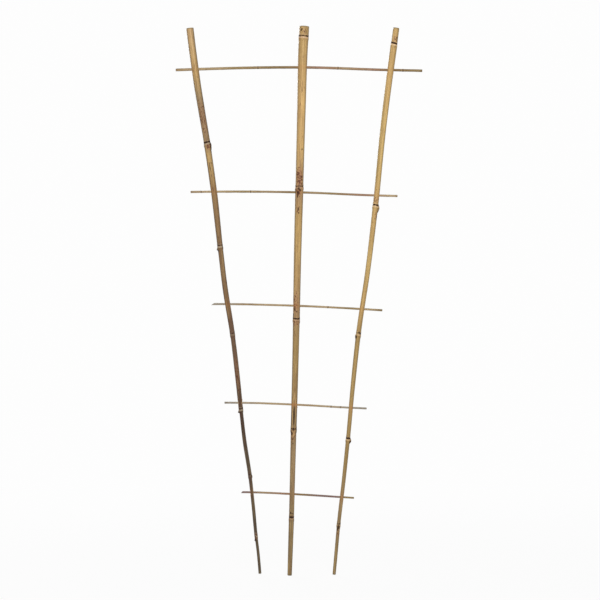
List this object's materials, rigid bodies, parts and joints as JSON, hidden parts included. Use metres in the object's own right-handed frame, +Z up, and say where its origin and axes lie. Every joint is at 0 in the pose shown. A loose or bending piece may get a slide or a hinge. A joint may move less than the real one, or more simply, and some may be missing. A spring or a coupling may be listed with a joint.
{
  "type": "bamboo plant trellis",
  "caption": "Fan-shaped bamboo trellis: splayed canes, closer together at the foot, drilled across for thin bamboo rungs that a climbing plant is tied to.",
  "frame": {"origin": "at the height of the middle cane's foot, halfway between the top rung's two ends, in the middle of the trellis's thickness", "axes": "+Z up along the height, +X to the right across the trellis as its front is seen, +Y away from the front"},
  "size_m": [0.4041, 0.0168, 0.9005],
  "materials": {
    "left_cane": "natural dark bamboo, satin",
    "middle_cane": "natural golden bamboo, satin",
    "right_cane": "natural golden bamboo, satin",
    "rung_1": "thin bamboo, satin",
    "rung_2": "thin bamboo, satin",
    "rung_3": "thin bamboo, satin",
    "rung_4": "thin bamboo, satin",
    "rung_5": "thin bamboo, satin"
  },
  "bodies": {
    "root": {"left_cane": "left_cane", "middle_cane": "middle_cane", "right_cane": "right_cane", "rung_1": "rung_1", "rung_2": "rung_2", "rung_3": "rung_3", "rung_4": "rung_4", "rung_5": "rung_5"}
  },
  "joints": []
}
